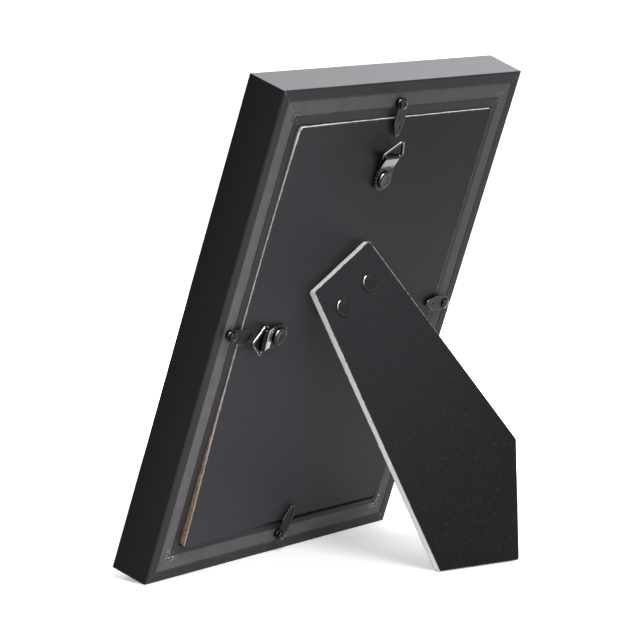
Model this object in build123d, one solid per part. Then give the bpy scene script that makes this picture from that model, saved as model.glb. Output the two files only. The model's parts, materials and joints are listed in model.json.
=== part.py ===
from build123d import *
from math import atan, cos, radians, sin, tan
import os

# Easel back photo frame for a 13 x 18 cm print, standing upright on its strut.
# Sizes are in millimetres and angles in degrees. Left and right are as seen from behind.
# The pieces are laid out on the flat back first: x to the right, y up the frame, z out of the back,
# with zero at the middle of the lower rear edge. At the end the frame is leaned back onto the table.

# Sides of the frame, each by its turn from the lower one
side_turns = {"top": 180, "right": 90, "bottom": 0, "left": -90}
level_sides = ("top", "bottom")

# Moulding and the print that it holds
print_width = 130.0
print_height = 180.0
print_margin = 1.5          # room round the print in the rebate, on each side
rail_width = 15.0           # rear face, from the outer edge to the rebate
rail_depth = 18.0
rail_taper = 0.5            # the front stands out this much further than the back, on each side
rebate_depth = 4.0
lip_width = 5.0             # front lip over the glass
lip_bevel = 1.2             # bevel along the sight edge
arris_radius = 0.7          # rounding of the long outer edges
foil_lap = 4.7              # foil folded onto the rear face from the outside
bare_width = 6.6            # strip of the rear face that the foil leaves bare
foil_thickness = 0.2

# Glass, picture sheet and back board
glass_thickness = 2.0
insert_thickness = 0.5
board_thickness = 3.0
stack_clearance = 0.5       # between the rebate's wall and the glass and board

# V-nails across the mitres
nail_setback = 9.5          # from both outer edges to the point of the V
nail_leg = 4.5
nail_thickness = 0.5
nail_height = 8.0
nail_sunk = 0.3             # below the rear face

# Screws of the turn buttons
screw_radius = 1.2
screw_depth = 9.0           # in the rail
screw_shoulder_radius = 2.0     # the shoulder keeps the button off the rail
screw_head_radius = 2.2
screw_head_height = 0.8
screw_head_rim = 0.35
recess_width = 0.6
recess_length = 2.6
recess_depth = 0.6

# Turn buttons: a flat stamped plate that reaches from its screw onto the board
button_thickness = 0.6
button_reach = 14.3         # screw to tip
button_end_radius = 2.8
button_belly_radius = 3.4
button_belly_reach = 7.0
button_tip_radius = 1.6
button_clearance = 0.1      # over what the button turns on, and under the screw's head
button_hole_clearance = 0.08
bump_reach = 9.8            # the pressed bump that bears on the board
bump_height = 0.3
bump_radius = 2.4
button_along = {"top": 3.1, "right": 1.5, "bottom": 1.0, "left": -3.8}      # screw from the middle of its rail
button_inset = {"top": 9.0, "right": 8.6, "bottom": 8.7, "left": 8.1}       # screw from the outer edge
button_turn = {"top": 7.5, "right": -6.5, "bottom": -11.0, "left": -9.5}    # from pointing straight into the frame

# Rivets
rivet_radius = 1.5
rivet_head_radius = 3.7
rivet_head_height = 1.2
low_head_height = 0.7       # the strut's rivets are flatter
rivet_rim_share = 0.65      # straight edge under the crown, of the head's height
rivet_tail_radius = 2.4
rivet_tail_height = 0.6

# Hangers: a strap folded round the bar of a triangular wire ring
strap_thickness = 0.7
strap_end_radius = 4.9
strap_fold_width = 9.2
strap_reach = 9.5           # rivet to ring bar
strap_flat = 4.3            # rivet to where the upper layer starts to rise
strap_mark_reach = 5.8      # small pressed mark between rivet and fold
strap_mark_radius = 0.6
strap_mark_depth = 0.4
wire_radius = 0.65
loop_clearance = 0.1        # round the ring bar inside the fold
ring_base = 16.0            # sides of the triangle along the wire's middle, before its corners are rounded
ring_height = 9.6
ring_corner_radius = 1.5
ring_apex_radius = 1.3
hanger_along = {"top": 2.1, "left": -0.6}       # rivet from the middle of its side
hanger_inset = {"top": 41.4, "left": 38.3}      # rivet from the outer edge
hanger_turn = {"top": 180.0, "left": 182.5}     # from pointing straight into the frame
ring_tilt = {"top": 22.5, "left": 8.5}          # of the resting ring, off the board

# Strut hinge: two rolled leaves on a pin, both hidden under the strut
hinge_across_share = 0.4276     # middle of the pin from the left, of the frame's width
hinge_height_share = 0.6066     # middle of the pin from below, of the frame's height
hinge_turn = 35.0               # the pin's line, up from level
hinge_width = 27.0
leaf_thickness = 0.7
leaf_length = 13.0          # pin to the leaf's end
leaf_corner_radius = 2.0
pin_radius = 0.8
pin_clearance = 0.05
pin_head_radius = 1.2
pin_head_length = 0.5
knuckle_count = 5
knuckle_clearance = 0.15    # between neighbouring knuckles, and from a knuckle to the board and strut
board_rivet_spacing = 9.0
board_rivet_reach = 6.5     # pin to rivet
board_rivet_head_radius = 2.4

# Strut: a stiff board with paper on both faces, and a foot for each way that the frame can stand
strut_swing = 31.7          # how far it opens from lying parallel to the board
strut_top_width = 34.4
strut_left_splay = 9.0
strut_right_splay = 5.1
strut_core_thickness = 3.2
paper_thickness = 0.2
strut_corner_radius = 1.0
side_foot_relief = 2.0      # the sideways foot is cut back by this, so that it stands on its outer end
strut_stop_gap = 0.1        # from the opened strut's upper edge to the board
strut_rivet_spacing = 16.3
strut_rivet_reach = 7.8     # pin to rivet
strut_rivet_shift = -1.2    # of the pair along the pin

# How far the frame leans back, upright and on its side
lean = 18.0
side_lean = 17.0

overrun = 1.0               # how far cutting shapes run past what they cut

# Sizes that follow from the ones above
opening_width = print_width + 2 * print_margin
opening_height = print_height + 2 * print_margin
frame_width = opening_width + 2 * rail_width
frame_height = opening_height + 2 * rail_width
hinge_from_left = hinge_across_share * frame_width
hinge_from_bottom = hinge_height_share * frame_height
insert_level = glass_thickness - rebate_depth
board_level = insert_level + insert_thickness
board_top = board_level + board_thickness
button_level = board_top + button_clearance + bump_height
fold_radius = wire_radius + loop_clearance + strap_thickness
knuckle_radius = pin_radius + pin_clearance + leaf_thickness
pin_height = knuckle_radius + knuckle_clearance
strut_head = (pin_height * (1 + cos(radians(strut_swing))) - strut_stop_gap) / sin(radians(strut_swing))
strut_thickness = strut_core_thickness + 2 * paper_thickness


def outline(*points):
    return make_face(Polyline(*points, close=True))


def slab(face, low, high):
    """The flat face as a solid between two heights."""
    return Pos(0, 0, low) * extrude(face, high - low)


def side_cut(profile, half_width):
    """A profile drawn in y and z as a solid that reaches half_width to both sides along x."""
    return extrude(Plane.YZ * profile, half_width, both=True)


def rail(length):
    """A moulding with its outer rear edge on the x axis, its rebate towards +y and mitred ends."""
    sight = rail_width + lip_width
    bare_end = foil_lap + bare_width
    profile = outline(
        (0, 0),
        (foil_lap, 0),
        (foil_lap, -foil_thickness),
        (bare_end, -foil_thickness),
        (bare_end, 0),
        (rail_width, 0),
        (rail_width, -rebate_depth),
        (sight, -rebate_depth),
        (sight, lip_bevel - rail_depth),
        (sight - lip_bevel, -rail_depth),
        (-rail_taper, -rail_depth),
    )
    rear_arris = profile.vertices().sort_by_distance((0, 0))[0]
    front_arris = profile.vertices().sort_by_distance((-rail_taper, -rail_depth))[0]
    profile = fillet([rear_arris, front_arris], arris_radius)
    half = length / 2
    past = rail_taper + overrun
    inside = sight + overrun
    mitre = outline((-half - past, -past), (half + past, -past), (half - inside, inside), (inside - half, inside))
    return side_cut(profile, half + past) & slab(mitre, -rail_depth - overrun, overrun)


def side_length(side):
    return frame_width if side in level_sides else frame_height


def side_place(side, along, inset):
    """Location with +y pointing into the frame from the named side, along being from the middle of that side."""
    across = frame_height if side in level_sides else frame_width
    return Pos(0, frame_height / 2, 0) * Rot(0, 0, side_turns[side]) * Pos(along, inset - across / 2, 0)


def nail_shape(low, high):
    """A V-nail seen along its corner: two legs at a right angle, one in each rail."""
    leg, wall = nail_leg, nail_thickness
    vee = outline((0, 0), (leg, 0), (leg, wall), (wall, wall), (wall, leg), (0, leg))
    return Pos(nail_setback, nail_setback, 0) * slab(vee, low, high)


def at_corners(shape):
    """Copies of a corner shape, drawn for the lower left corner, in all four corners."""
    return [side_place(side, -side_length(side) / 2, 0) * shape for side in side_turns]


def peg(radius, low, high):
    """Straight round solid on the z axis."""
    return slab(Circle(radius), low, high)


def round_head(radius, height, rim, level):
    """Head on the z axis from the given level up: a straight rim under a shallow cap of a ball."""
    rise = height - rim
    ball = (radius**2 + rise**2) / (2 * rise)
    return peg(radius, level, level + height) & Pos(0, 0, level + height - ball) * Sphere(ball)


def screw():
    """Round-headed screw on the z axis, with its shoulder under a turn button and its head over it."""
    seat = button_level + button_thickness + button_clearance
    point = screw_radius - screw_depth
    side = outline((0, seat), (0, -screw_depth), (screw_radius, point), (screw_radius, seat))
    shank = revolve(Plane.XZ * side, Axis.Z) + peg(screw_shoulder_radius, 0, button_level - button_clearance)
    head = round_head(screw_head_radius, screw_head_height, screw_head_rim, seat)
    floor = seat + screw_head_height - recess_depth
    cross = Rectangle(recess_length, recess_width) + Rectangle(recess_width, recess_length)
    return shank + head - slab(cross, floor, floor + recess_depth + overrun)


def turn_button():
    """Stamped plate with its screw hole on the z axis and its tip towards +y."""
    top = button_level + button_thickness
    plan = make_hull(
        Circle(button_end_radius).edges()
        + (Pos(0, button_belly_reach) * Circle(button_belly_radius)).edges()
        + (Pos(0, button_reach - button_tip_radius) * Circle(button_tip_radius)).edges()
    )
    middle = Pos(0, bump_reach, button_level - bump_height + bump_radius)
    bump = middle * Sphere(bump_radius)
    below = Pos(0, bump_reach, 0) * peg(bump_radius, 0, button_level + button_thickness / 2)
    dimple = middle * Sphere(bump_radius - button_thickness)
    hole = peg(screw_radius + button_hole_clearance, 0, top + overrun)
    return slab(plan, button_level, top) + (bump & below) - dimple - hole


def rivet_head(radius, height, level):
    return round_head(radius, height, rivet_rim_share * height, level)


def sunk_tail(level):
    """Rivet tail set flush into a board whose far face is at this level."""
    return Pos(0, 0, level) * Cone(
        rivet_tail_radius, rivet_radius, rivet_tail_height, align=(Align.CENTER, Align.CENTER, Align.MIN)
    )


def hanger_strap():
    """Folded strap with its rivet on the z axis, its fold towards +y and its lower layer on z = 0."""
    bar = strap_reach
    layer = strap_thickness
    top = 2 * fold_radius
    end = -strap_end_radius - overrun
    outer = make_face([
        Polyline((bar, top), (strap_flat, 2 * layer), (end, 2 * layer), (end, 0), (bar, 0)),
        ThreePointArc((bar, 0), (bar + fold_radius, fold_radius), (bar, top)),
    ])
    inner = make_face([
        Polyline((bar, top - layer), (strap_flat, layer), (bar, layer)),
        ThreePointArc((bar, layer), (bar + fold_radius - layer, fold_radius), (bar, top - layer)),
    ])
    fold_end = Pos(0, bar + fold_radius / 2) * Rectangle(strap_fold_width, fold_radius)
    neck = Pos(0, bar) * Rectangle(strap_fold_width, layer)
    plan = make_hull(Circle(strap_end_radius).edges() + neck.edges()) + fold_end
    strap = side_cut(outer - inner, strap_fold_width) & slab(plan, 0, top + overrun)
    rise = (top - 2 * layer) / (bar - strap_flat)
    mark_top = 2 * layer + rise * (strap_mark_reach - strap_flat)
    mark = Pos(0, strap_mark_reach, 0) * peg(strap_mark_radius, mark_top - strap_mark_depth, top + overrun)
    return strap - mark - peg(rivet_radius, 0, top)


def hanger_ring():
    """Triangular wire ring with its bar on the x axis and its point towards +y."""
    half = ring_base / 2
    radii = [ring_corner_radius, ring_apex_radius, ring_corner_radius]
    path = FilletPolyline((-half, 0), (0, ring_height), (half, 0), radius=radii, close=True)
    return sweep(Plane(path @ 0, z_dir=path % 0) * Circle(wire_radius), path)


def hanger_rivet():
    shank = peg(rivet_radius, -board_thickness, 2 * strap_thickness)
    return shank + rivet_head(rivet_head_radius, rivet_head_height, 2 * strap_thickness) + sunk_tail(-board_thickness)


def hanger_place(side):
    """Location of a hanger's rivet on the board, with +y towards the ring."""
    rivet = side_place(side, hanger_along[side], hanger_inset[side])
    return rivet * Pos(0, 0, board_top) * Rot(0, 0, hanger_turn[side])


def ring_place(side):
    """Location of a ring's bar, with the ring tilted off the board as it rests."""
    return hanger_place(side) * Pos(0, strap_reach, fold_radius) * Rot(ring_tilt[side], 0, 0)


def leaf(first):
    """Hinge leaf under the pin, which is the x axis; its rolled knuckles start at the given one, every second."""
    pitch = hinge_width / knuckle_count
    bore = knuckle_radius - leaf_thickness
    plate = Pos(0, -leaf_length / 2, -pin_height) * extrude(Rectangle(hinge_width, leaf_length), leaf_thickness)
    corners = plate.edges().filter_by(Axis.Z).group_by(Axis.Y)[0]
    plate = fillet(corners, leaf_corner_radius)
    roll = Circle(knuckle_radius)
    seam = outline((0, 0), (-knuckle_radius, 0), (-knuckle_radius, -bore), (0, -bore))
    made = plate
    for place in range(knuckle_count):
        middle = Pos((place + 0.5) * pitch - hinge_width / 2, 0, 0)
        half = pitch / 2 - knuckle_clearance / 2
        if (place - first) % 2 == 0:
            made = made + middle * side_cut(roll, half)
        else:
            made = made - middle * side_cut(Circle(knuckle_radius + knuckle_clearance), half + knuckle_clearance)
    return made - side_cut(seam, hinge_width) - side_cut(Circle(bore), hinge_width)


def hinge_pin():
    head = Circle(pin_head_radius)
    half = hinge_width / 2
    shank = side_cut(Circle(pin_radius), half)
    ends = [Pos(side * (half + pin_head_length / 2), 0, 0) * side_cut(head, pin_head_length / 2) for side in (-1, 1)]
    return shank + ends


def rivet_row(spacing, reach, shift):
    """Places of a pair of rivets below the pin."""
    return [Pos(shift + side * spacing / 2, -reach, 0) for side in (-1, 1)]


def meet(first, second):
    """Point where two lines p x + q y = r cross, each given as (p, q, r)."""
    p, q, r = first
    s, t, u = second
    whole = p * t - q * s
    return (r * t - q * u) / whole, (p * u - r * s) / whole


def table_rise(angle):
    """Height of the table over the sharp lower rear edge, because that edge is rounded."""
    slope = atan(rail_taper / rail_depth)
    centre = arris_radius * (1 - sin(slope)) / cos(slope)
    return centre * cos(radians(angle)) + arris_radius * (sin(radians(angle)) - 1)


def foot_line(angle, turn, height, ground):
    """Line on the strut's inner face that lies on the table: x along the pin and y up the strut.

    turn is how far the pin rises from level in that stance, and height is the pin's middle above the lower edge.
    """
    swing = radians(strut_swing)
    tilt = radians(angle)
    rise = radians(turn)
    out = board_top + pin_height + pin_height * cos(swing)
    along = sin(rise) * cos(tilt)
    up = cos(swing) * cos(rise) * cos(tilt) + sin(swing) * sin(tilt)
    level = ground - (height + pin_height * sin(swing) * cos(rise)) * cos(tilt) + out * sin(tilt)
    return along, up, level


def strut_plan():
    """Outline of the strut: x along the pin, y up, zero on the pin."""
    half = strut_top_width / 2
    left_slope = tan(radians(strut_left_splay))
    right_slope = tan(radians(strut_right_splay))
    left_side = (1, -left_slope, -half - left_slope * strut_head)
    right_side = (1, right_slope, half + right_slope * strut_head)
    upright_foot = foot_line(lean, hinge_turn, hinge_from_bottom, table_rise(lean))
    from_right = frame_width - hinge_from_left
    sideways_turn = hinge_turn - side_turns["right"]
    sideways_table = foot_line(side_lean, sideways_turn, from_right, table_rise(side_lean))
    toe = meet(sideways_table, upright_foot)
    across, up, _ = Vector(*sideways_table[:2]).rotate(Axis.Z, side_foot_relief)
    sideways_foot = (across, up, across * toe[0] + up * toe[1])
    return outline(
        (-half, strut_head),
        (half, strut_head),
        meet(right_side, sideways_foot),
        toe,
        meet(upright_foot, left_side),
    )


def strut_layers():
    """The strut's paper, core and paper, parallel to the board, with the pin as the x axis."""
    plan = strut_plan()
    plan = fillet(plan.vertices(), strut_corner_radius)
    core = pin_height + paper_thickness
    back = core + strut_core_thickness
    levels = {
        "strut_paper_front": (pin_height, core),
        "strut_core": (core, back),
        "strut_paper_back": (back, back + paper_thickness),
    }
    holes = [place * peg(rivet_radius, 0, back + overrun) for place in rivet_places]
    return {name: slab(plan, low, high) - holes for name, (low, high) in levels.items()}


def strut_rivet():
    inner = pin_height - leaf_thickness
    outer = pin_height + strut_thickness
    tail = peg(rivet_tail_radius, inner - rivet_tail_height, inner)
    return tail + peg(rivet_radius, inner, outer) + rivet_head(rivet_head_radius, low_head_height, outer)


def board_rivet():
    seat = leaf_thickness
    head = rivet_head(board_rivet_head_radius, low_head_height, seat)
    return head + peg(rivet_radius, -board_thickness, seat) + sunk_tail(-board_thickness)


pieces = {}

# Rails, with slots for the V-nails and holes for the screws
nail_low = -nail_sunk - nail_height
slots = at_corners(nail_shape(nail_low, overrun))
screw_places = {side: side_place(side, button_along[side], button_inset[side]) for side in side_turns}
pilots = [place * peg(screw_radius, -screw_depth, overrun) for place in screw_places.values()]
for side in side_turns:
    pieces["rail_" + side] = side_place(side, 0, 0) * rail(side_length(side)) - slots - pilots
pieces["corner_nails"] = Compound(children=at_corners(nail_shape(nail_low, -nail_sunk)))

# What lies in the rebate
middle = Pos(0, frame_height / 2, 0)
pane = Rectangle(opening_width - 2 * stack_clearance, opening_height - 2 * stack_clearance)
pieces["glass_pane"] = middle * slab(pane, -rebate_depth, insert_level)
pieces["picture_insert"] = middle * slab(Rectangle(print_width, print_height), insert_level, board_level)

# Strut hinge; the moving leaf mirrors the fixed one when the strut is shut
hinge_place = Pos(hinge_from_left - frame_width / 2, hinge_from_bottom, board_top + pin_height) * Rot(0, 0, hinge_turn)
strut_place = hinge_place * Rot(-strut_swing, 0, 0)
rivet_places = rivet_row(strut_rivet_spacing, strut_rivet_reach, strut_rivet_shift)
anchor_places = rivet_row(board_rivet_spacing, board_rivet_reach, 0)
on_board = hinge_place * Pos(0, 0, -pin_height)
leaf_holes = [place * peg(rivet_radius, -pin_height, pin_height) for place in rivet_places]
anchor_holes = [place * peg(rivet_radius, -pin_height, pin_height) for place in anchor_places]
pieces["hinge_leaf_board"] = hinge_place * (leaf(0) - anchor_holes)
pieces["hinge_leaf_strut"] = strut_place * (mirror(leaf(1), Plane.XY) - leaf_holes)
pieces["hinge_pin"] = hinge_place * hinge_pin()
pieces["hinge_rivets_board"] = Compound(children=[on_board * place * board_rivet() for place in anchor_places])
pieces["strut_rivets"] = Compound(children=[strut_place * place * strut_rivet() for place in rivet_places])
for name, layer in strut_layers().items():
    pieces[name] = strut_place * layer

# Hangers
for side in hanger_along:
    pieces["hanger_strap_" + side] = hanger_place(side) * hanger_strap()
    pieces["hanger_rivet_" + side] = hanger_place(side) * hanger_rivet()
    pieces["hanger_ring_" + side] = ring_place(side) * hanger_ring()

# Back board, with a hole and a sunk seat for each rivet that goes through it
through = peg(rivet_radius, -board_thickness - overrun, overrun) + sunk_tail(-board_thickness)
rivets_through = [hanger_place(side) for side in hanger_along] + [on_board * place for place in anchor_places]
board = middle * slab(pane, board_level, board_top)
pieces["back_board"] = board - [place * through for place in rivets_through]

# Turn buttons on their screws
for side, place in screw_places.items():
    pieces["button_" + side] = place * Rot(0, 0, button_turn[side]) * turn_button()
pieces["button_screws"] = Compound(children=[place * screw() for place in screw_places.values()])

# The frame leans back on its lower rear edge and the strut's foot; the origin is under the middle of its box
leaned = Plane(origin=(0, 0, 0), x_dir=(-1, 0, 0), z_dir=(0, cos(radians(lean)), -sin(radians(lean)))).location
whole = Compound(children=[leaned * piece for piece in pieces.values()]).bounding_box()
stance = Pos(-whole.center().X, -whole.center().Y, -whole.min.Z) * leaned

os.makedirs("parts", exist_ok=True)
for name, piece in pieces.items():
    export_step(stance * piece, "parts/" + name + ".step")
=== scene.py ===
"""Looks of an easel back photo frame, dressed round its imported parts.

Lengths are in metres unless a name ends in mm. Left and right are as seen from behind.
"""
import json
from math import cos, pi, radians, sin

import bpy
import numpy as np
from mathutils import Matrix


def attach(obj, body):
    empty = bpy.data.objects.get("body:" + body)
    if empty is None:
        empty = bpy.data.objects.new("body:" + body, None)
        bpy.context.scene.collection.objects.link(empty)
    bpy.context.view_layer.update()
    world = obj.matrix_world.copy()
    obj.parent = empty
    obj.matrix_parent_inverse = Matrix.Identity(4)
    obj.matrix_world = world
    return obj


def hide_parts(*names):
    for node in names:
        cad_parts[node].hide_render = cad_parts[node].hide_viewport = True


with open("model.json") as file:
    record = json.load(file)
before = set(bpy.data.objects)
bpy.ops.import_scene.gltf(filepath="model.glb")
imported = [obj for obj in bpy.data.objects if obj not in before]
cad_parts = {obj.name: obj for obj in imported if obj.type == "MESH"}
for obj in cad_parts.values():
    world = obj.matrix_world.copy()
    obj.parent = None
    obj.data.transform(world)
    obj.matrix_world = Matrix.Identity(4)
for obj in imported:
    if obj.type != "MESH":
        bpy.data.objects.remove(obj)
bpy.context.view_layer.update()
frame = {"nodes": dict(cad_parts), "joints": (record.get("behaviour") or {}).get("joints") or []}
nodes = frame["nodes"]
joints = {joint["name"]: joint for joint in frame["joints"]}
sides = ("top", "right", "bottom", "left")
hanger_sides = ("top", "left")

# Camera, found from the corners of the frame in the photo
camera_place = (1.0141, 0.7455, 0.2963)
camera_right = (-0.6009, 0.7990, 0.0208)
camera_down = (0.1095, 0.1082, -0.9881)
camera_lens_mm = 174.8
camera_rise = 0.0008            # of the lens, as a share of the picture
sensor_mm = 36.0

# Moulding
rail_taper = 0.0005             # the front stands out this much further than the back
foil_lap_mm = 4.7
bare_end_mm = 11.3
nail_setback_mm = 9.5
nail_leg_mm = 4.5
nail_thickness_mm = 0.5

# Back board
board_corner = 0.0008
board_arris = 0.00025
board_fray = 0.00006            # unevenness of the sawn edge

# Strut
paper_arris = 0.00015
core_fray = 0.00008
sheet_arrises = 2.2             # least thickness of a sheet, in arrises

# Turn buttons
button_thickness = 0.0006
button_reach = 0.0143
button_end_radius = 0.0028
button_belly_radius = 0.0034
button_belly_reach = 0.007
button_tip_radius = 0.0016
button_hole_radius = 0.00128
button_arris = 0.00022
button_gap = 0.0001             # to the screw's shoulder and head
bump_reach = 0.0098
bump_depth = 0.0002
bump_radius = 0.001

# Screws
screw_head_radius = 0.0022
screw_head_height = 0.0008
screw_head_rim = 0.00035
screw_shank_radius = 0.0012
screw_shoulder_radius = 0.002
screw_depth = 0.009
recess_half_width = 0.00034
recess_half_length = 0.0013
recess_depth = 0.0006
screw_turn = 0.4                # of the first screw's cross, in radians; each next one has a radian more

# Hangers
strap_thickness = 0.0007
strap_end_radius = 0.0049
strap_fold_width = 0.0092
strap_flat = 0.0043
strap_hollow = 1.3              # power by which the upper layer climbs to the fold
strap_arris = 0.0002
strap_mark_reach = 0.0058
strap_mark_radius = 0.0005
strap_mark_depth = 0.0002
wire_radius = 0.00065
loop_clearance = 0.0001
ring_base = 0.016
ring_height = 0.0096
ring_corner_radius = 0.0015
ring_apex_radius = 0.0013
rivet_head_radius = 0.0037
rivet_shank_radius = 0.0015
rivet_edge = 0.0009             # width of a rivet's rounded shoulder
rivet_hollow = 0.12             # share of its height by which a rivet's face is hollow

# Picture sheet
card_clearance = 0.0001

# Painted highlights on the metal pieces
highlight_way = (0.752, 0.551, 0.361)     # to the left, out of the back and up
slope_lean = radians(60)        # from z towards the rivet: the way that a strap's slope is told by

# Marks on the moulding, each from its start to its end
scuff_fade_mm = (-60.0, 40.0)   # up the frame, over which the scuffs grow faint
shade_inset_mm = (13.1, 13.7)   # the unlit step beside the board, low on the right
shade_rise_mm = (-80.0, -70.0)
shade_along_mm = (-25.0, 10.0)

# Points round or along the surfaces
outline_directions = 4096
corner_points = 400
board_points = 900
card_points = 320
strut_points = 700
button_points = 192
ring_points = 168
wire_points = 20
rivet_points = 72
screw_points = 96

# Seeds of the cut edges
board_seed = 11
card_seed = 5

# Floor and light
floor_half = 6.0
floor_lift = 0.32               # glow of the floor as the camera and mirrors see it
sky_light = 0.55
lamp_colour = (0.95, 0.97, 1.0)
lamps = {                       # the way to each, the degrees of sky that it fills and its strength
    "right softbox": ((-0.80, -0.42, 0.42), 38.0, 1.35),
    "left softbox": ((0.36, 0.50, 0.79), 20.0, 1.9),
    "top softbox": ((-0.30, 0.50, 0.80), 50.0, 0.8),
}
floor_lamp_place = (-0.42, -0.25, 0.9)
floor_lamp_spread = radians(41.0)
floor_lamp_power = 110.0
floor_lamp_softness = 0.5


def unit(vector):
    vector = np.asarray(vector, float)
    return vector / np.linalg.norm(vector)


class Place:
    """Where a piece is drawn: an origin and three axes, kept as rows."""

    def __init__(self, origin, x_axis, z_axis):
        z_axis = unit(z_axis)
        x_axis = unit(np.asarray(x_axis) - np.dot(x_axis, z_axis) * z_axis)
        self.origin = np.asarray(origin, float)
        self.axes = np.array([x_axis, np.cross(z_axis, x_axis), z_axis])

    def put(self, points):
        return self.origin + np.asarray(points) @ self.axes

    def read(self, points):
        return (np.asarray(points) - self.origin) @ self.axes.T

    def moved(self, offset):
        return Place(self.put(offset), self.axes[0], self.axes[2])

    def turned(self, angle):
        """The same place turned by an angle about its own z axis."""
        x_axis = np.cos(angle) * self.axes[0] + np.sin(angle) * self.axes[1]
        return Place(self.origin, x_axis, self.axes[2])


def node_points(*names):
    """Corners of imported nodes, one row each."""
    found = []
    for name in names:
        mesh = nodes[name].data
        flat = np.empty(3 * len(mesh.vertices))
        mesh.vertices.foreach_get("co", flat)
        found.append(flat.reshape(-1, 3))
    return np.concatenate(found)


def middle_of(points):
    return (points.min(axis=0) + points.max(axis=0)) / 2


def back_place():
    """The middle of the frame's rear face: x to the right, y up the frame and z out of the back."""
    outward = joints["button_top_turn"]["axis"]
    rough = Place((0, 0, 0), (-1, 0, 0), outward)
    corners = rough.read(node_points(*("rail_" + side for side in sides)))
    centre = middle_of(corners)
    centre[2] = corners[:, 2].max()
    return rough.moved(centre)


def button_place(side):
    """A screw on the rear face, with y towards the tip of its turn button."""
    joint = joints[f"button_{side}_turn"]
    low, high = joint["range_deg"]
    inward = {"top": pi, "right": pi / 2, "bottom": 0, "left": -pi / 2}[side]
    return Place(joint["pos_m"], back.axes[0], back.axes[2]).turned(inward - radians(low + high) / 2)


def ring_place(side):
    """A ring's bar along x, with y towards the point of the ring."""
    joint = joints[f"ring_{side}_swing"]
    offsets = node_points("hanger_ring_" + side) - joint["pos_m"]
    bar = unit(joint["axis"])
    offsets = offsets - np.outer(offsets @ bar, bar)
    point = offsets[np.argmax(np.linalg.norm(offsets, axis=1))]
    return Place(joint["pos_m"], bar, np.cross(bar, point))


def strap_place(side):
    """A hanger's rivet on the board, with y towards the strap's fold."""
    joint = joints[f"ring_{side}_swing"]
    rivet = back.read(node_points("hanger_rivet_" + side))
    strap = back.read(node_points("hanger_strap_" + side))
    seat = middle_of(rivet)
    seat[2] = strap[:, 2].min()
    return Place(back.put(seat), joint["axis"], back.axes[2])


def strut_place():
    """The strut's hinge pin along x, with y up the strut and z out of its outer face."""
    joint = joints["strut_fold"]
    swing = radians(joint["range_deg"][1])
    shut = Place(joint["pos_m"], joint["axis"], back.axes[2])
    return Place(shut.origin, shut.axes[0], np.sin(swing) * shut.axes[1] + np.cos(swing) * shut.axes[2])


back = back_place()
strut = strut_place()
rail_corners = back.read(node_points("rail_right", "rail_top"))
half_width = rail_corners[:, 0].max() - rail_taper
half_height = rail_corners[:, 1].max() - rail_taper
board_half_width, board_half_height = np.ptp(back.read(node_points("back_board")), axis=0)[:2] / 2


# Surfaces

def ramp(low, high, value):
    """0 below low, 1 above high and a smooth rise between them: 3 t^2 - 2 t^3."""
    share = np.clip((value - low) / (high - low), 0, 1)
    return share * share * (3 - 2 * share)


def skin(rings, loop=False):
    """Points and faces of a tube through rings of points, an array of rings x points x 3.

    Each ring is closed. The rows are closed into a loop too, or each end gets a middle point and a fan.
    """
    rows, count = rings.shape[:2]
    points = rings.reshape(-1, 3)
    index = np.arange(rows * count).reshape(rows, count)
    lower = index if loop else index[:-1]
    upper = np.roll(index, -1, axis=0) if loop else index[1:]
    quads = np.stack([lower, np.roll(lower, -1, axis=1), np.roll(upper, -1, axis=1), upper], axis=-1)
    faces = quads.reshape(-1, 4).tolist()
    if not loop:
        points = np.concatenate([points, rings[:1].mean(axis=1), rings[-1:].mean(axis=1)])
        start, end = len(points) - 2, len(points) - 1
        first, last = index[0], index[-1]
        faces += np.stack([np.full(count, start), np.roll(first, -1), first], axis=-1).tolist()
        faces += np.stack([np.full(count, end), last, np.roll(last, -1)], axis=-1).tolist()
    return points, faces


def around(count):
    return np.linspace(0, 2 * pi, count, endpoint=False)


def even_outline(corners, count):
    """The closed outline through the corners, as so many points at even distances along it."""
    closed = np.concatenate([corners, corners[:1]])
    lengths = np.concatenate([[0], np.cumsum(np.linalg.norm(np.diff(closed, axis=0), axis=1))])
    at = np.linspace(0, lengths[-1], count, endpoint=False)
    return np.stack([np.interp(at, lengths, closed[:, axis]) for axis in (0, 1)], axis=-1)


def discs_outline(centres, radii, count):
    """Outline round several discs: in each direction the point of the disc that reaches furthest."""
    angle = around(8 * count)
    facing = np.stack([np.cos(angle), np.sin(angle)], axis=-1)
    reach = facing @ np.asarray(centres).T + np.asarray(radii)
    far = np.argmax(reach, axis=1)
    return even_outline(np.asarray(centres)[far] + np.asarray(radii)[far, None] * facing, count)


def node_corners(name, place):
    """Corners of a flat node in a place's x and y: in each direction the one that reaches furthest."""
    flat = place.read(node_points(name))[:, :2]
    angle = around(outline_directions)
    far = np.argmax(flat @ np.stack([np.cos(angle), np.sin(angle)]), axis=0)
    return flat[far[far != np.roll(far, 1)]]


def smooth_noise(shape, seed, blur):
    """Random heights of about -1 to 1 on a closed grid, averaged over a few neighbours on each axis."""
    made = np.random.default_rng(seed).uniform(-1, 1, shape)
    for axis, width in enumerate(blur):
        made = sum(np.roll(made, step, axis=axis) for step in range(width)) / np.sqrt(width)
    return made


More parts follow.
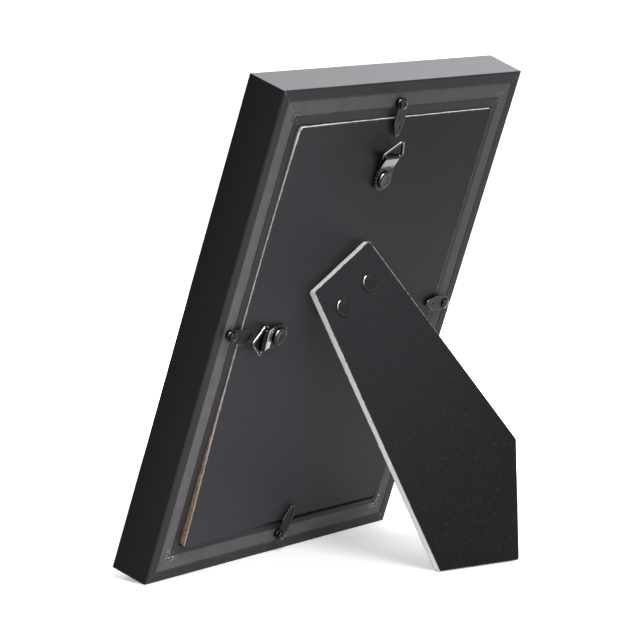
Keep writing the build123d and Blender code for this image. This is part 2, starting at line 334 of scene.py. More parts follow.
def cut_sheet(outline, low, high, arris, fray, seed, bend):
    """A flat sheet cut to an outline, closed on all sides.

    The rings run from the middle of the lower face to its rim, up the cut edge and back to the middle of the
    upper face: point = middle + share * (outline - middle), with the rims rounded by a quarter circle and the
    edge pushed in and out by a smooth noise. bend(x, y) lifts the whole sheet where it is above zero, and
    where it is below zero it draws the upper face down towards the lower one. Besides points, faces and which
    faces are the cut edge, it gives each point's way round the rim and its distance in from the rim, in
    millimetres; on the cut edge that distance is the depth under the upper rim, below zero.
    """
    face_shares = np.array([0.02, 0.1, 0.2, 0.3, 0.4, 0.5, 0.6, 0.7, 0.8, 0.88, 0.94, 0.98, 0.996])
    corner = np.linspace(0, pi / 2, 4)
    edge_rise = np.linspace(0, 1, 7)[1:-1]
    inset = np.concatenate([arris * (1 - np.sin(corner)), 0 * edge_rise, arris * (1 - np.cos(corner))])
    lower = low + arris * (1 - np.cos(corner))
    upper = high - arris * (1 - np.sin(corner))
    edge = np.concatenate([lower, low + arris + edge_rise * (high - low - 2 * arris), upper])
    middle = outline.mean(axis=0)
    along = np.roll(outline, -1, axis=0) - np.roll(outline, 1, axis=0)
    out = np.stack([along[:, 1], -along[:, 0]], axis=-1) / np.linalg.norm(along, axis=1)[:, None]
    push = fray * smooth_noise((len(edge), len(outline)), seed, (2, 3)) - inset[:, None]
    rim = outline[None] + push[:, :, None] * out[None]
    lower_face = middle + face_shares[:, None, None] * (rim[0] - middle)
    upper_face = middle + face_shares[::-1, None, None] * (rim[-1] - middle)
    flat = np.concatenate([lower_face, rim, upper_face])
    heights = np.concatenate([np.full(len(face_shares), low), edge, np.full(len(face_shares), high)])
    lift = bend(flat[..., 0], flat[..., 1])
    share = (heights[:, None] - low) / (high - low)
    height = heights[:, None] + np.maximum(lift, 0) + share * np.minimum(lift, 0)
    points, faces = skin(np.concatenate([flat, height[..., None]], axis=-1))
    first = (len(face_shares) + 1) * len(outline)
    last = first + (len(edge) - len(corner) - 1) * len(outline)
    kinds = np.zeros(len(faces), int)
    kinds[first:last] = 1
    depth = np.sum((outline - middle) * out, axis=1)
    inwards = np.concatenate([1 - face_shares, 0 * edge, 1 - face_shares[::-1]])[:, None] * depth
    inwards[len(face_shares):-len(face_shares)] = np.minimum(edge - high + arris, 0)[:, None]
    lengths = np.cumsum(np.linalg.norm(along, axis=1)) / 2
    ways = np.stack([np.broadcast_to(lengths, inwards.shape), inwards], axis=-1).reshape(-1, 2)
    ways = np.concatenate([ways, [[0, depth.mean()], [0, depth.mean()]]]) * 1000
    return points, faces, kinds, ways


def no_bend(x, y):
    return 0 * x


def turned_solid(radii, heights, count, sink=None):
    """A profile turned about z, from its lower end up. sink(x, y, z) is taken off the heights."""
    angle = around(count)
    x = np.outer(radii, np.cos(angle))
    y = np.outer(radii, np.sin(angle))
    z = np.broadcast_to(np.asarray(heights)[:, None], x.shape)
    if sink:
        z = z - sink(x, y, z)
    return skin(np.stack([x, y, z], axis=-1))


def rivet(low, foot, top):
    """A rivet turned about z: a shank and a head, its shoulder a quarter ellipse and its face hollow."""
    swing = np.linspace(0, pi / 2, 13)
    shoulder_radii = rivet_head_radius - rivet_edge * (1 - np.cos(swing))
    shoulder = top - 0.8 * (top - foot) * (1 - np.sin(swing))
    face_shares = np.linspace(1, 0.02, 14)[1:]
    face_radii = (rivet_head_radius - rivet_edge) * face_shares
    face = top - rivet_hollow * (top - foot) * ramp(0, 0.5, 1 - face_shares)
    stem_radii = [rivet_shank_radius, rivet_shank_radius, rivet_head_radius]
    radii = np.concatenate([stem_radii, shoulder_radii, face_radii])
    return turned_solid(radii, np.concatenate([[low, foot, foot], shoulder, face]), rivet_points)


def turn_button(top):
    """A flat stamped plate, its upper face at the given height, as a loop of sections round its screw hole.

    Each ring is the outline drawn in towards the hole by a share. The rings go out along the lower face and
    back along the upper one. A round dent is taken off both faces.
    """
    centres = [(0, 0), (0, button_belly_reach), (0, button_reach - button_tip_radius)]
    radii = (button_end_radius, button_belly_radius, button_tip_radius)
    outline = discs_outline(centres, radii, button_points)
    angle = np.arctan2(outline[:, 1], outline[:, 0])
    hole = button_hole_radius * np.stack([np.cos(angle), np.sin(angle)], axis=-1)
    edge = np.linspace(0, pi / 2, 4)
    reach = np.linalg.norm(outline, axis=1).mean()
    soft = button_arris / reach * (1 - np.sin(edge))
    drop = button_arris * (1 - np.cos(edge))
    share = np.concatenate([np.linspace(0, 0.97, 40), 1 - soft])
    fall = np.concatenate([np.zeros(40), drop])[:, None]
    ring = hole[None] + share[:, None, None] * (outline - hole)[None]
    away = np.hypot(ring[..., 0], ring[..., 1] - bump_reach)
    dent = bump_depth * (1 - ramp(0.2 * bump_radius, bump_radius, away))
    lower = top - button_thickness - dent + fall
    upper = top - dent - fall
    under = np.concatenate([ring, lower[..., None]], axis=-1)
    over = np.concatenate([ring, upper[..., None]], axis=-1)[::-1]
    return skin(np.concatenate([under, over]), loop=True)


def screw(shoulder, top):
    """A screw turned about z: a shoulder, a domed head up to the given height and a cross pressed in."""
    seat = top - screw_head_height

    def recess(x, y, z):
        bars = [
            ramp(-recess_half_width, -0.6 * recess_half_width, -abs(a))
            * ramp(-recess_half_length, -0.8 * recess_half_length, -abs(b))
            for a, b in ((x, y), (y, x))
        ]
        over = ramp(seat + screw_head_rim, seat + screw_head_rim + recess_depth / 4, z)
        return recess_depth * over * np.maximum(*bars)

    swing = np.linspace(0, pi / 2, 40)[:-1]
    head_radii = screw_head_radius * np.cos(swing) ** 0.8
    head = seat + screw_head_rim + (screw_head_height - screw_head_rim) * np.sin(swing)
    stem = screw_shank_radius
    wide = screw_shoulder_radius
    radii = np.concatenate([[stem / 3, stem, stem, wide, wide, stem, stem, screw_head_radius], head_radii])
    levels = [-screw_depth, stem - screw_depth, 0, 0, shoulder, shoulder, seat, seat]
    return turned_solid(radii, np.concatenate([levels, head]), screw_points, recess)


def strap(reach):
    """A strap folded round a wire bar, as a flat section carried along its middle line.

    The line runs along the lower layer, half round the bar and down the upper layer to its end over the
    rivet. The width follows the round end of the strap and then tapers to the fold. The section is a flat
    loop with rounded edges: width * w across and thickness * t through.
    """
    loop = wire_radius + loop_clearance + strap_thickness / 2
    bar_height = loop + strap_thickness / 2
    half = strap_thickness / 2
    swing = np.linspace(-pi / 2, pi / 2, 24)
    end = -strap_end_radius * np.cos(np.linspace(0.05, pi / 2, 16))
    lower_y = np.concatenate([end, np.linspace(0, reach, 12)[1:-1]])
    slope_y = np.linspace(reach, strap_flat, 26)[1:]
    climb = (slope_y - strap_flat) / (reach - strap_flat)
    slope_z = 3 * half + (bar_height + loop - 3 * half) * climb**strap_hollow
    upper_y = np.concatenate([np.linspace(strap_flat, 0, 8)[1:-1], end[::-1]])
    y = np.concatenate([lower_y, reach + loop * np.cos(swing), slope_y, upper_y])
    bend_z = bar_height + loop * np.sin(swing)
    z = np.concatenate([0 * lower_y + half, bend_z, slope_z, 0 * upper_y + 3 * half])
    tangent = np.gradient(np.stack([y, z], axis=-1), axis=0)
    tangent /= np.linalg.norm(tangent, axis=1)[:, None]
    rounded = np.sqrt(np.clip(strap_end_radius**2 - np.minimum(y, 0) ** 2, strap_arris**2, None))
    width = np.minimum(rounded, np.interp(y, [0, reach], [strap_end_radius, strap_fold_width / 2]))
    angle = np.linspace(0, pi / 2, 5)
    flat = np.linspace(1, -1, 24)[1:-1]
    turns = (0, pi / 2, pi, 1.5 * pi)
    arc = [strap_arris * np.stack([np.cos(angle + turn), np.sin(angle + turn)]) for turn in turns]
    side = [1, -1, -1, 1]
    rise = [1, 1, -1, -1]
    core = width[:, None] - strap_arris
    across, through = [], []
    for (out, up), s, r in zip(arc, side, rise):
        across.append(s * core + out[None])
        through.append(np.broadcast_to(r * (half - strap_arris) + up, (len(y), len(up))))
        if s * r == 1:
            across.append(r * flat[None] * core)
            through.append(np.full((len(y), len(flat)), r * half))
    across = np.concatenate(across, axis=1)
    through = np.concatenate(through, axis=1)
    away = np.hypot(across, y[:, None] - strap_mark_reach)
    upper = ramp(2.2 * half, 2.8 * half, z)[:, None] * (through > 0)
    unmarked = ramp(0.4 * strap_mark_radius, strap_mark_radius, away)
    through = through - upper * strap_mark_depth * (1 - unmarked)
    rings = np.stack([
        across,
        y[:, None] + through * tangent[:, 1, None],
        z[:, None] - through * tangent[:, 0, None],
    ], axis=-1)
    return skin(rings)


def ring():
    """Round wire along a triangle with rounded corners: a circle of the wire's radius at each point."""
    half = ring_base / 2
    corners = np.array([(-half, 0), (half, 0), (0, ring_height)])
    radii = np.array([ring_corner_radius, ring_corner_radius, ring_apex_radius])
    path = discs_outline(arc_centres(corners, radii), radii, ring_points)
    tangent = unit_rows(np.roll(path, -1, axis=0) - np.roll(path, 1, axis=0))
    out = np.stack([tangent[:, 1], -tangent[:, 0]], axis=-1)
    angle = around(wire_points)
    flat = path[:, None] + wire_radius * np.cos(angle)[None, :, None] * out[:, None]
    height = np.broadcast_to(-wire_radius * np.sin(angle), flat.shape[:2])
    return skin(np.concatenate([flat, height[..., None]], axis=-1), loop=True)


def unit_rows(rows):
    return rows / np.linalg.norm(rows, axis=1)[:, None]


def arc_centres(corners, radii):
    """Middles of the arcs that round the corners of a convex outline."""
    after = unit_rows(np.roll(corners, -1, axis=0) - corners)
    before = unit_rows(np.roll(corners, 1, axis=0) - corners)
    half_angle = np.arccos(np.clip(np.sum(after * before, axis=1), -1, 1)) / 2
    return corners + unit_rows(after + before) * (radii / np.sin(half_angle))[:, None]


def joined(parts):
    """Several lots of points and faces as one."""
    starts = np.cumsum([0] + [len(points) for points, _ in parts[:-1]])
    points = np.concatenate([points for points, _ in parts])
    faces = [[int(start) + i for i in face] for start, (_, lot) in zip(starts, parts) for face in lot]
    return points, faces


# Shaders

def add_node(tree, kind, sockets=None, **settings):
    """One shader node with its settings and its sockets, each a value or another node's output."""
    node = tree.nodes.new(kind)
    for name, value in settings.items():
        setattr(node, name, value)
    for name, value in (sockets or {}).items():
        if isinstance(value, bpy.types.NodeSocket):
            tree.links.new(value, node.inputs[name])
        else:
            node.inputs[name].default_value = value
    return node


def follow(kind, sockets, **settings):
    """One shader node in the same tree as the outputs that feed it."""
    fed = next(value for value in sockets.values() if isinstance(value, bpy.types.NodeSocket))
    return add_node(fed.id_data, kind, sockets, **settings)


def calc(operation, first, second=0.0):
    return follow("ShaderNodeMath", {0: first, 1: second}, operation=operation).outputs[0]


def times(first, second):
    return calc("MULTIPLY", first, second)


def dot(first, second):
    node = follow("ShaderNodeVectorMath", {0: first, 1: second}, operation="DOT_PRODUCT")
    return node.outputs["Value"]


def own_normal(tree):
    return add_node(tree, "ShaderNodeNewGeometry").outputs["Normal"]


def split(vector):
    """The x, y and z of a vector."""
    return follow("ShaderNodeSeparateXYZ", {0: vector}).outputs


def combine(x, y, z):
    return follow("ShaderNodeCombineXYZ", {0: x, 1: y, 2: z}).outputs[0]


def step_up(value, low, high):
    """0 below low, 1 above high, smooth between."""
    sockets = {"Value": value, "From Min": low, "From Max": high}
    return follow("ShaderNodeMapRange", sockets, interpolation_type="SMOOTHSTEP").outputs[0]


def step_down(value, low, high):
    return calc("SUBTRACT", 1.0, step_up(value, low, high))


def between(value, low, high):
    """A share from 0 to 1 turned into a value from low to high."""
    sockets = {"Value": value, "To Min": low, "To Max": high}
    return follow("ShaderNodeMapRange", sockets).outputs[0]


def blend(share, first, second):
    """Colour that goes from the first to the second with the share."""
    ends = [colour(*end) if isinstance(end, tuple) else end for end in (first, second)]
    node = follow("ShaderNodeMix", {0: share, 6: ends[0], 7: ends[1]}, data_type="RGBA")
    return node.outputs[2]


def mix(share, first, second):
    """Number that goes from the first to the second with the share."""
    node = follow("ShaderNodeMix", {0: share, 2: first, 3: second}, data_type="FLOAT")
    return node.outputs[0]


def colour(red, green, blue):
    return (red, green, blue, 1.0)


def place_mm(tree, place):
    """Coordinates in a place, in millimetres."""
    turn = Matrix(place.axes.T).to_euler()
    seat = add_node(tree, "ShaderNodeTexCoord").outputs["Object"]
    sockets = {"Vector": seat, "Location": place.origin, "Rotation": turn, "Scale": (0.001, 0.001, 0.001)}
    return add_node(tree, "ShaderNodeMapping", sockets, vector_type="TEXTURE").outputs[0]


def back_mm(tree):
    """Coordinates on the back of the frame in millimetres: x to the right, y up, z out."""
    return place_mm(tree, back)


def strut_mm(tree):
    """Coordinates on the strut in millimetres: x along the pin, y up the strut, z out."""
    return place_mm(tree, strut)


def noise(vector, scale, detail=3.0, roughness=0.55):
    sockets = {"Vector": vector, "Scale": scale, "Detail": detail, "Roughness": roughness}
    return follow("ShaderNodeTexNoise", sockets).outputs[0]


def new_group(name, inputs, outputs):
    """An empty shader node group with named number sockets, its input node and its output node."""
    group = bpy.data.node_groups.new(name, "ShaderNodeTree")
    for label, value in inputs.items():
        group.interface.new_socket(label, in_out="INPUT", socket_type="NodeSocketFloat").default_value = value
    for label in outputs:
        group.interface.new_socket(label, in_out="OUTPUT", socket_type="NodeSocketFloat")
    return group, group.nodes.new("NodeGroupInput").outputs, group.nodes.new("NodeGroupOutput")


def feed(node, **values):
    """Links to a node's sockets, in whose names a space is written as an underscore."""
    for label, value in values.items():
        node.id_data.links.new(value, node.inputs[label.replace("_", " ")])


def grain_group():
    """Fine relief of pressed paper and foil: cells under two sizes of noise."""
    group, given, output = new_group("pressed grain", {"Size": 1.0, "Depth": 1.0}, ["Height", "Mottle"])
    seat = back_mm(group)
    scale = calc("DIVIDE", 1.0, given["Size"])
    sockets = {"Vector": seat, "Scale": scale}
    cells = add_node(group, "ShaderNodeTexVoronoi", sockets, feature="SMOOTH_F1").outputs[0]
    fine = noise(seat, times(scale, 2.3), 4.0)
    coarse = noise(seat, times(scale, 0.12), 3.0)
    relief = calc("ADD", cells, times(fine, 0.6))
    feed(output, Height=times(relief, given["Depth"]), Mottle=coarse)
    return group


def dust_group():
    """Loose specks and lint: sparse small cells, thinned by a broad noise."""
    group, given, output = new_group("dust", {"Size": 1.0, "Amount": 0.5}, ["Mask"])
    seat = back_mm(group)
    scale = calc("DIVIDE", 1.0, given["Size"])
    cells = add_node(group, "ShaderNodeTexVoronoi", {"Vector": seat, "Scale": scale}).outputs[0]
    patch = noise(seat, times(scale, 0.08))
    reach = times(step_up(patch, 0.42, 0.75), 0.22)
    speck = calc("LESS_THAN", cells, reach)
    feed(output, Mask=times(speck, given["Amount"]))
    return group


def wear_group():
    """Worn edges: where a widely rounded normal leaves the face's own, broken up by noise."""
    group, given, output = new_group("edge wear", {"Width": 0.0003, "Amount": 0.5}, ["Mask"])
    soft = add_node(group, "ShaderNodeBevel", {"Radius": given["Width"]}, samples=4).outputs[0]
    along = dot(soft, own_normal(group))
    edge = step_down(along, 0.80, 0.995)
    broken = step_up(noise(back_mm(group), 1.6, 4.0), 0.38, 0.62)
    feed(output, Mask=times(times(edge, broken), given["Amount"]))
    return group


def highlight_rim_group():
    """Painted highlights on rims: where the surface faces to the left, out and up, within a cone about that
    way.
    """
    group, given, output = new_group("painted highlight rims", {"Low": 0.92, "High": 0.982}, ["Mask"])
    facing = dot(own_normal(group), highlight_way)
    feed(output, Mask=step_up(facing, given["Low"], given["High"]))
    return group


def rail_group():
    """What the moulding shows: bare strip, edges of the foil, mitres, the nails' slots and their scuffs."""
    group, given, output = new_group(
        "moulding bands", {"Wobble": 0.5},
        ["Rear", "Depth", "Bare", "Inner", "Lap", "Mitre", "Scuff", "Slot", "Shade", "Streak"],
    )
    seat = back_mm(group)
    x, y, z = split(seat)
    from_side = calc("SUBTRACT", half_width * 1000, calc("ABSOLUTE", x))
    from_end = calc("SUBTRACT", half_height * 1000, calc("ABSOLUTE", y))
    upright = calc("LESS_THAN", from_side, from_end)
    inset = calc("MINIMUM", from_side, from_end)
    off_mitre = calc("ABSOLUTE", calc("SUBTRACT", from_side, from_end))
    along = mix(upright, x, y)
    rear = step_up(z, -0.6, -0.3)
    slow = noise(seat, 0.06, 4.0)
    wobble = times(calc("SUBTRACT", slow, 0.5), given["Wobble"])
    at = calc("ADD", inset, wobble)
    starts = step_up(at, foil_lap_mm - 0.6, foil_lap_mm + 0.5)
    ends = step_down(at, bare_end_mm - 0.7, bare_end_mm + 0.5)
    to_lap = calc("ABSOLUTE", calc("SUBTRACT", at, foil_lap_mm))
    to_end = calc("ABSOLUTE", calc("SUBTRACT", at, bare_end_mm))
    lap = step_down(calc("MINIMUM", to_lap, to_end), 0.1, 0.6)
    hairline = step_down(off_mitre, 0.08, 0.35)
    grit = step_up(noise(seat, 0.9, 5.0, 0.7), 0.47, 0.56)
    legs = []
    for out, over in ((from_side, from_end), (from_end, from_side)):
        mid = calc("SUBTRACT", over, nail_setback_mm + nail_thickness_mm / 2)
        wall = calc("SUBTRACT", calc("ABSOLUTE", mid), nail_thickness_mm / 2)
        before = calc("SUBTRACT", nail_setback_mm, out)
        past = calc("SUBTRACT", out, nail_setback_mm + nail_leg_mm)
        legs.append(calc("MAXIMUM", wall, calc("MAXIMUM", before, past)))
    to_nail = calc("MINIMUM", *legs)
    wear_and_highlight = mix(step_up(y, *scuff_fade_mm), 1.0, 0.2)
    scuff = times(step_down(to_nail, 0.5, 1.1), times(grit, wear_and_highlight))
    low_right = times(step_down(y, *shade_rise_mm), step_up(x, *shade_along_mm))
    shade = times(step_up(inset, *shade_inset_mm), low_right)
    drawn = combine(times(along, 0.02), inset, z)
    masks = {
        "Bare": times(starts, ends),
        "Inner": calc("SUBTRACT", 1.0, ends),
        "Lap": lap,
        "Mitre": times(hairline, grit),
        "Scuff": scuff,
        "Slot": step_down(to_nail, 0.1, 0.4),
        "Shade": shade,
    }
    feed(output, **{name: times(mask, rear) for name, mask in masks.items()})
    streak = noise(drawn, 1.3, 5.0, 0.65)
    feed(output, Rear=rear, Depth=step_up(z, -18.0, 0.0), Streak=streak)
    return group


def light_fade_group():
    """Painted light over the back of the frame: 1 at its lower left, 0 at its upper right."""
    group, given, output = new_group("light_fade", {"Spread": 65.0}, ["Mask"])
    x, y, _ = split(back_mm(group))
    off = times(calc("ADD", x, y), 0.5)
    least = times(given["Spread"], -1.0)
    feed(output, Mask=step_down(off, least, given["Spread"]))
    return group


effects = {
    "grain": grain_group(),
    "dust": dust_group(),
    "wear": wear_group(),
    "painted_highlight": highlight_rim_group(),
    "rail": rail_group(),
    "light_fade": light_fade_group(),
}


def place_effect(tree, name, **values):
    """One of the shared effects in a material, with its own values."""
    node = tree.nodes.new("ShaderNodeGroup")
    node.node_tree = effects[name]
    for label, value in values.items():
        node.inputs[label].default_value = value
    return node.outputs


def new_material(name, **sockets):
    """A material with one Principled shader whose plain sockets are set here."""
    material = bpy.data.materials.new(name)
    material.use_nodes = True
    tree = material.node_tree
    tree.nodes.clear()
    shader = tree.nodes.new("ShaderNodeBsdfPrincipled")
    for label, value in sockets.items():
        shader.inputs[label.replace("_", " ")].default_value = value
    output = tree.nodes.new("ShaderNodeOutputMaterial")
    tree.links.new(shader.outputs[0], output.inputs["Surface"])
    return material, tree, shader


def bumped(height, distance, strength=1.0):
    sockets = {"Height": height, "Distance": distance, "Strength": strength}
    return follow("ShaderNodeBump", sockets).outputs[0]


def black_foil():
    """Satin black foil over the moulding, with the bare strip between its laps."""
    material, tree, shader = new_material(
        "black foil", Specular_IOR_Level=0.09, Specular_Tint=colour(0.91, 0.92, 1.0)
    )
    bands = place_effect(tree, "rail", Wobble=0.9)
    light_fade = place_effect(tree, "light_fade")["Mask"]
    dust = place_effect(tree, "dust", Size=0.9, Amount=0.25)["Mask"]
    wear = place_effect(tree, "wear", Width=0.0005, Amount=0.35)["Mask"]
    # painted shade: the sides of the moulding darker towards its front
    side = blend(bands["Depth"], (0.0022, 0.0021, 0.0027), (0.0060, 0.0058, 0.0070))
    cloud = noise(back_mm(tree), 0.11, 4.0)
    # painted light: rear face, inner foil and bare strip paler towards the lower left
    rear = blend(light_fade, (0.0130, 0.0125, 0.0148), (0.0310, 0.0296, 0.0328))
    inner = blend(light_fade, (0.0195, 0.0182, 0.0200), (0.0420, 0.0380, 0.0410))
    inner = blend(times(bands["Streak"], 0.4), inner, (0.0150, 0.0138, 0.0150))
    strip = blend(light_fade, (0.0760, 0.0725, 0.0755), (0.138, 0.132, 0.135))
    dim = times(step_down(cloud, 0.35, 0.6), 0.3)
    strip = blend(dim, strip, (0.062, 0.059, 0.062))
    made = blend(bands["Rear"], side, rear)
    made = blend(bands["Inner"], made, inner)
    made = blend(bands["Bare"], made, strip)
    marks = {
        # Lap: a dark line at the foil's edges, the edge itself and a painted shadow of it
        "Lap": (0.25, (0.012, 0.0115, 0.0125)),
        "Mitre": (0.6, (0.26, 0.25, 0.25)),
        "Slot": (0.8, (0.010, 0.0095, 0.010)),
        "Scuff": (0.9, (0.40, 0.385, 0.385)),
        "Shade": (1.0, (0.0015, 0.0015, 0.0015)),
    }
    for band, (strength, shade) in marks.items():
        made = blend(times(bands[band], strength), made, shade)
    made = blend(dust, made, (0.10, 0.098, 0.095))
    made = blend(wear, made, (0.045, 0.044, 0.046))
    sheen = between(bands["Streak"], 0.38, 0.43)
    matt = calc("MAXIMUM", bands["Bare"], bands["Shade"])
    rough = mix(matt, sheen, 0.8)
    feed(shader, Base_Color=made, Roughness=rough, Normal=bumped(bands["Streak"], 0.00004, 0.15))
    return material


def rim_depth(tree):
    """How far in from a cut sheet's rim a point is, in millimetres; below zero on the cut edge."""
    way = add_node(tree, "ShaderNodeUVMap", uv_map="rim").outputs[0]
    return split(way)[1]


def board_face():
    """Black paper face of the fibre board: satin, cloudy, with fine fibres, and with light painted paler
    towards its lower left.
    """
    material, tree, shader = new_material(
        "board face", Specular_IOR_Level=0.07, Specular_Tint=colour(0.97, 0.94, 1.0)
    )
    seat = back_mm(tree)
    grain = place_effect(tree, "grain", Size=0.5, Depth=1.0)
    dust = place_effect(tree, "dust", Size=1.4, Amount=0.2)["Mask"]
    light_fade = place_effect(tree, "light_fade", Spread=60.0)["Mask"]
    y = split(seat)[1]
    # painted light: paler towards the lower left, darker to the upper right
    face = blend(light_fade, (0.0046, 0.0043, 0.0060), (0.0400, 0.0380, 0.0440))
    face = blend(times(grain["Mottle"], 0.2), face, (0.011, 0.0107, 0.0123))
    face = blend(dust, face, (0.12, 0.12, 0.115))
    rim = step_down(rim_depth(tree), 0.05, 0.4)
    wear_and_highlight = times(rim, step_up(noise(seat, 1.3, 4.0), 0.45, 0.65))
    wear_and_highlight = times(wear_and_highlight, step_up(y, -88.0, -80.0))
    face = blend(times(wear_and_highlight, 0.4), face, (0.20, 0.18, 0.16))
    rough = between(grain["Mottle"], 0.36, 0.44)
    feed(shader, Base_Color=face, Roughness=rough, Normal=bumped(grain["Height"], 0.00002, 0.3))
    return material


def board_edge():
    """Sawn edge of the fibre board: pale and dusty, with brown fibres that show towards its lower end."""
    material, tree, shader = new_material("board edge", Specular_IOR_Level=0.2, Roughness=0.85)
    seat = back_mm(tree)
    y = split(seat)[1]
    fibre = noise(seat, 2.2, 5.0, 0.7)
    patch = noise(seat, 0.14, 3.0)
    uneven = times(calc("SUBTRACT", patch, 0.5), 1.2)
    low = calc("ADD", step_down(y, -100.0, 60.0), uneven)
    cream = blend(step_up(fibre, 0.38, 0.64), (0.22, 0.16, 0.125), (0.62, 0.55, 0.49))
    strands = step_up(fibre, 0.42, 0.62)
    brown = blend(strands, (0.075, 0.043, 0.028), (0.46, 0.30, 0.175))
    made = blend(step_up(low, 0.35, 0.9), cream, brown)
    top = times(step_up(y, 78.0, 88.0), step_up(patch, 0.35, 0.5))
    made = blend(top, made, (0.86, 0.79, 0.71))
    depth = rim_depth(tree)
    # darker under the upper rim, beside the rail: ink overspray and painted shade
    ink_and_shade = times(step_down(depth, -1.3, -0.55), step_up(y, -62.0, -20.0))
    made = blend(times(ink_and_shade, 0.85), made, (0.055, 0.047, 0.042))
    crest = times(step_up(depth, -0.75, -0.3), step_up(fibre, 0.38, 0.54))
    pale = blend(step_up(y, -70.0, -10.0), (0.66, 0.57, 0.49), (0.88, 0.83, 0.79))
    made = blend(crest, made, pale)
    feed(shader, Base_Color=made, Normal=bumped(fibre, 0.00012, 0.6))
    return material


def strut_paper():
    """Black grained paper of the strut: cells, faint flecks and a highlight painted along its rims, darker
    towards its foot.
    """
    material, tree, shader = new_material(
        "strut paper", Specular_IOR_Level=0.10, Specular_Tint=colour(0.96, 0.95, 1.0)
    )
    grain = place_effect(tree, "grain", Size=0.9, Depth=1.0)
    dust = place_effect(tree, "dust", Size=0.75, Amount=0.35)["Mask"]
    seat = strut_mm(tree)
    y = split(seat)[1]
    fleck = step_up(noise(seat, 0.55, 5.0, 0.75), 0.52, 0.70)
    rise = step_up(y, -130.0, 10.0)
    face = blend(rise, (0.0058, 0.0056, 0.0068), (0.0190, 0.0184, 0.0208))
    face = blend(times(fleck, 0.55), face, (0.030, 0.0292, 0.032))
    face = blend(dust, face, (0.10, 0.10, 0.10))
    # painted highlight: a pale line along the paper's rims, broken up by noise
    rim = step_down(rim_depth(tree), 0.02, 0.2)
    wear_and_highlight = times(rim, step_up(noise(seat, 0.5, 4.0), 0.3, 0.55))
    wear_and_highlight = times(wear_and_highlight, between(step_up(y, -60.0, -10.0), 0.3, 1.0))
    face = blend(wear_and_highlight, face, (0.55, 0.53, 0.50))
    rough = between(grain["Mottle"], 0.5, 0.62)
    feed(shader, Base_Color=face, Roughness=rough, Normal=bumped(grain["Height"], 0.00012, 0.8))
    return material


def white_board():
    """Cut edge of the strut's pale board: layered, with a little fibre."""
    material, tree, shader = new_material("white board", Specular_IOR_Level=0.2, Roughness=0.8)
    seat = strut_mm(tree)
    x, y, z = split(seat)
    drawn = combine(times(x, 0.05), times(y, 0.05), z)
    layers = noise(drawn, 2.6, 3.0)
    fibre = noise(seat, 2.4, 5.0, 0.7)
    made = blend(layers, (0.83, 0.785, 0.715), (0.93, 0.90, 0.85))
    made = blend(step_up(fibre, 0.60, 0.78), made, (0.66, 0.60, 0.53))
    feed(shader, Base_Color=made, Normal=bumped(fibre, 0.00008, 0.5))
    return material


def black_metal(name, base, gloss, worn, wear_and_highlight):
    """Black plated steel: dark, glossy, worn at the edges, with highlights painted on rims that face one way.
    """
    material, tree, shader = new_material(name, Metallic=1.0)
    film, cloud = plated_film(tree, base, worn, wear_and_highlight)
    finish_plate(tree, shader, film, cloud, gloss)
    return material


def plated_film(tree, base, worn, wear_and_highlight):
    """Colour of the plating, with worn edges and highlights painted on rims, and the clouds that its gloss
    follows.
    """
    wear = place_effect(tree, "wear", Width=0.0004, Amount=worn)["Mask"]
    cloud = noise(back_mm(tree), 1.1, 4.0)
    film = blend(cloud, tuple(0.8 * part for part in base), base)
    film = blend(wear, film, (0.34, 0.335, 0.33))
    # painted highlight: pale colour on the rims that face one way, where lamp glints would be
    painted_highlight = times(place_effect(tree, "painted_highlight")["Mask"], wear_and_highlight)
    return blend(painted_highlight, film, (0.78, 0.77, 0.755)), cloud


def finish_plate(tree, shader, film, cloud, gloss):
    """Dust and fine grain over the plating, and its gloss."""
    dust = place_effect(tree, "dust", Size=0.35, Amount=0.2)["Mask"]
    made = blend(dust, film, (0.1, 0.1, 0.1))
    relief = bumped(noise(back_mm(tree), 2.5, 4.0), 0.00002, 0.15)
    feed(shader, Base_Color=made, Roughness=between(cloud, *gloss), Normal=relief)


def black_strap(side, starts, full, wear_and_highlight):
    """Black plated strap, with a highlight painted where its upper layer slopes from the fold to the rivet.

    The slope is told from the flat by how many degrees its normal leans from z towards the rivet.
    """
    material, tree, shader = new_material("black strap " + side, Metallic=1.0)
    film, cloud = plated_film(tree, (0.018, 0.0176, 0.0185), 0.6, 0.35)
    along, out = strap_place(side).axes[1:]
    leaning = cos(slope_lean) * out - sin(slope_lean) * along
    facing = dot(own_normal(tree), leaning)
    # painted highlight: pale colour on the slope, in place of a reflection
    slope = step_up(facing, cos(slope_lean - radians(starts)), cos(slope_lean - radians(full)))
    film = blend(times(slope, wear_and_highlight), film, (0.46, 0.455, 0.45))
    finish_plate(tree, shader, film, cloud, (0.20, 0.27))
    return material


def bare_steel():
    """Dull steel of the corner nails."""
    material, tree, shader = new_material("bare steel", Metallic=1.0)
    cloud = noise(back_mm(tree), 1.5, 4.0)
    made = blend(cloud, (0.07, 0.068, 0.066), (0.16, 0.156, 0.15))
    feed(shader, Base_Color=made, Roughness=between(cloud, 0.45, 0.65))
    return material


def pane_glass():
    material, tree, shader = new_material(
        "pane glass", Base_Color=colour(0.96, 0.985, 0.97), Transmission_Weight=1.0, IOR=1.5
    )
    smear = noise(back_mm(tree), 0.03, 3.0)
    feed(shader, Roughness=between(smear, 0.0, 0.03))
    return material


def picture_card():
    """Blank matt sheet in the place of a picture."""
    material, tree, shader = new_material("picture card", Specular_IOR_Level=0.25, Roughness=0.75)
    fibre = noise(back_mm(tree), 1.2, 4.0)
    made = blend(fibre, (0.70, 0.69, 0.66), (0.76, 0.75, 0.72))
    feed(shader, Base_Color=made, Normal=bumped(fibre, 0.00004, 0.3))
    return material


